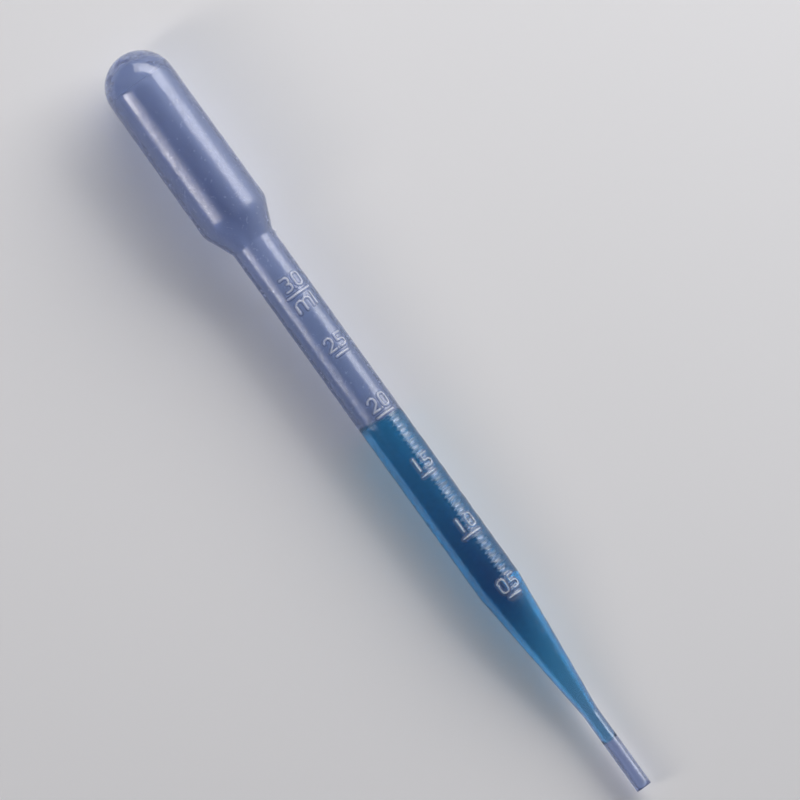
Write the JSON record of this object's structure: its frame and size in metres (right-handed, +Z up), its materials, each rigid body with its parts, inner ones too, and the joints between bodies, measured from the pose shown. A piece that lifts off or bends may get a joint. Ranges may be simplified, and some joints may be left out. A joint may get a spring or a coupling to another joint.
{
  "type": "dropper pipette",
  "caption": "Soft clear plastic dropper pipette with a squeeze bulb, raised volume marks, a tapered fine tip and blue liquid in its stem, lying on its side.",
  "frame": {"origin": "on the surface the pipette lies on, under the middle of its bounding box", "axes": "+Z up; +X along its length towards the tip, which dips by 1.7 degrees; the raised figures face up, leaning to +Y"},
  "size_m": [0.155, 0.013, 0.0135],
  "materials": {
    "clear_polyethylene": "glossy, translucent",
    "blue_liquid": "clear"
  },
  "bodies": {
    "root": {"pipette_body": "clear_polyethylene", "liquid_column": "blue_liquid"}
  },
  "joints": []
}
